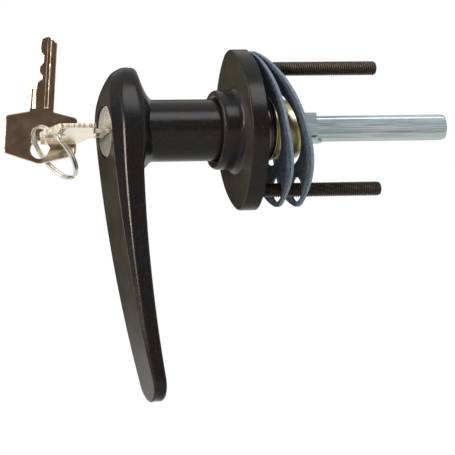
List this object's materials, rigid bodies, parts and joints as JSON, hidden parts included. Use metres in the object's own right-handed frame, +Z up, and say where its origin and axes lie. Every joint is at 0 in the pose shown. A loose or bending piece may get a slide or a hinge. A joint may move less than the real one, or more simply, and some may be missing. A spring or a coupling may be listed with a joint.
{
  "type": "locking lever handle",
  "caption": "Black die-cast lever handle for a cab door, with an oval stud-mounted flange, a key lock in its head and a square spindle that works the latch.",
  "frame": {"origin": "spindle axis at the back face of the flange, where the handle meets the door", "axes": "+X along the spindle into the door, +Z up, the lever hangs down along -Z"},
  "size_m": [0.1533, 0.0446, 0.1318],
  "materials": {
    "black_coat": "satin black powder coat on die-cast zinc",
    "black_oxide": "black oxide on rolled thread",
    "gasket_fibre": "mottled slate grey fibre",
    "dark_steel": "oiled dark spring steel",
    "yellow_zinc": "yellow-passivated zinc plate",
    "bright_zinc": "bright zinc plate",
    "lock_brass": "machined brass",
    "satin_face": "satin stainless pressing",
    "key_nickel": "nickel-plated brass",
    "ring_nickel": "bright nickel on spring steel"
  },
  "bodies": {
    "flange": {"base_flange": "black_coat", "upper_stud": "black_oxide", "lower_stud": "black_oxide", "front_gasket": "gasket_fibre", "rear_gasket": "gasket_fibre"},
    "handle": {"handle_lever": "black_coat", "lock_barrel": "lock_brass", "front_thrust_washer": "dark_steel", "wave_washer": "dark_steel", "rear_thrust_washer": "dark_steel", "spacer_washer": "dark_steel", "retaining_cup": "yellow_zinc", "spindle": "bright_zinc", "spindle_collar": "bright_zinc", "cross_pin": "bright_zinc"},
    "plug": {"lock_plug": "lock_brass", "plug_face_cap": "satin_face", "wafer_1": "lock_brass", "wafer_2": "lock_brass", "wafer_3": "lock_brass", "wafer_4": "lock_brass", "wafer_5": "lock_brass", "wafer_springs": "bright_zinc", "plug_clip": "bright_zinc"},
    "bolt": {"lock_bolt": "bright_zinc"},
    "key": {"key_in_lock": "key_nickel"},
    "ring": {"key_ring": "ring_nickel"},
    "spare": {"spare_key": "key_nickel"}
  },
  "joints": [
    {"name": "handle_turn", "type": "hinge", "parent": "flange", "child": "handle", "pos_m": [0, 0, 0], "axis": [1, 0, 0], "range_deg": [-90, 90]},
    {"name": "key_turn", "type": "hinge", "parent": "handle", "child": "plug", "pos_m": [-0.05, 0, 0], "axis": [1, 0, 0], "range_deg": [-90, 0]},
    {"name": "bolt_slide", "type": "slide", "parent": "handle", "child": "bolt", "axis": [0, 0, -1], "range_m": [0, 0.00283]},
    {"name": "key_slide", "type": "slide", "parent": "plug", "child": "key", "axis": [-1, 0, 0], "range_m": [0, 0.024]},
    {"name": "ring_swing", "type": "hinge", "parent": "key", "child": "ring", "pos_m": [-0.06993, 0.00025, -0.0009], "axis": [0.5532, -0.4153, -0.7221], "range_deg": [-24, 8]},
    {"name": "spare_key_swing", "type": "hinge", "parent": "ring", "child": "spare", "pos_m": [-0.07124, 0.01903, -0.00114], "axis": [-0.4917, -0.4693, 0.7335], "range_deg": [-4, 24]}
  ],
  "couplings": [
    {"joint": "bolt_slide", "follows": "key_turn", "m_per_rad": -0.0018006}
  ]
}
